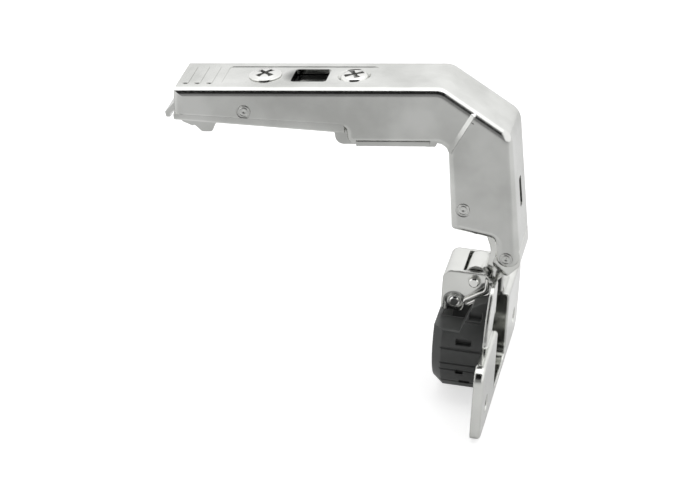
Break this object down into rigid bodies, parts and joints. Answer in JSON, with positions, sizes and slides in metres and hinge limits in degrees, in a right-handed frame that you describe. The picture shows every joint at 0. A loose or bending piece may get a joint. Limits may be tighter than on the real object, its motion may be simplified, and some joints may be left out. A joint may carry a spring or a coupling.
{
  "type": "concealed cabinet hinge",
  "caption": "Concealed soft-closing cabinet hinge with a cranked clip-on arm, folding links, adjusting screws and a round cup with an eared flange, stored open.",
  "frame": {"origin": "midway between the two flange screw holes, on the flange's front face", "axes": "+X out of the door along the cup's axis, +Y along the pins, +Z from the cup towards the arm's shoulder"},
  "size_m": [0.088, 0.062, 0.08],
  "materials": {
    "nickel_steel": "satin nickel plate",
    "nylon": "matte",
    "spring_wire": "bright drawn wire",
    "screw_steel": "bright nickel plate"
  },
  "bodies": {
    "cup": {"cup_flange": "nickel_steel", "link_pin": "nickel_steel", "deep_pin": "nickel_steel", "nylon_housing": "nylon", "damper_cylinder": "nylon", "closing_spring_near": "spring_wire", "closing_spring_far": "spring_wire"},
    "outer_link": {"outer_link": "nickel_steel"},
    "inner_link": {"inner_link": "nickel_steel"},
    "arm": {"hinge_arm": "nickel_steel", "tip_rivet": "nickel_steel", "mid_rivets": "nickel_steel", "tail_rivet": "nickel_steel"},
    "side_screw": {"side_screw": "screw_steel"},
    "depth_cam": {"depth_cam": "screw_steel"},
    "carriage": {"carriage": "nickel_steel", "lever_pin": "nickel_steel", "lever_spring": "spring_wire"},
    "clip_lever": {"clip_lever": "nickel_steel"},
    "damper_rod": {"damper_rod": "nylon"}
  },
  "joints": [
    {"name": "outer_link_swing", "type": "hinge", "parent": "cup", "child": "outer_link", "pos_m": [-0.0115, 0, 0.0174], "axis": [0, 1, 0], "range_deg": [0, 117.8]},
    {"name": "arm_swing", "type": "hinge", "parent": "outer_link", "child": "arm", "pos_m": [0.0004, 0, 0.0317], "axis": [0, 1, 0], "range_deg": [-22.9, 0]},
    {"name": "inner_link_swing", "type": "hinge", "parent": "cup", "child": "inner_link", "pos_m": [-0.007, 0, 0.0235], "axis": [0, 1, 0], "range_deg": [0, 142.1]},
    {"name": "side_screw_turn", "type": "hinge", "parent": "arm", "child": "side_screw", "pos_m": [-0.06135, 0, 0.06767], "axis": [-0.1305, 0, 0.9914], "range_deg": [-360, 360]},
    {"name": "depth_cam_turn", "type": "hinge", "parent": "arm", "child": "depth_cam", "pos_m": [-0.03994, 0, 0.07049], "axis": [-0.1305, 0, 0.9914], "range_deg": [-180, 180]},
    {"name": "carriage_slide", "type": "slide", "parent": "arm", "child": "carriage", "axis": [0.9914, 0, 0.1305], "range_m": [-0.002, 0.002]},
    {"name": "clip_lever_press", "type": "hinge", "parent": "carriage", "child": "clip_lever", "pos_m": [-0.07079, 0, 0.06118], "axis": [0, 1, 0], "range_deg": [0, 8], "stiffness_Nm_per_rad": 0.05, "springref_deg": -17.19},
    {"name": "damper_rod_press", "type": "slide", "parent": "cup", "child": "damper_rod", "axis": [0, 0, -1], "range_m": [0, 0.0025], "stiffness_N_per_m": 100, "springref_m": -0.001}
  ],
  "couplings": [
    {"joint": "arm_swing", "follows": "outer_link_swing", "ratio": -0.19347},
    {"joint": "inner_link_swing", "follows": "outer_link_swing", "ratio": 1.2051},
    {"joint": "depth_cam_turn", "follows": "carriage_slide", "rad_per_m": 1570}
  ]
}
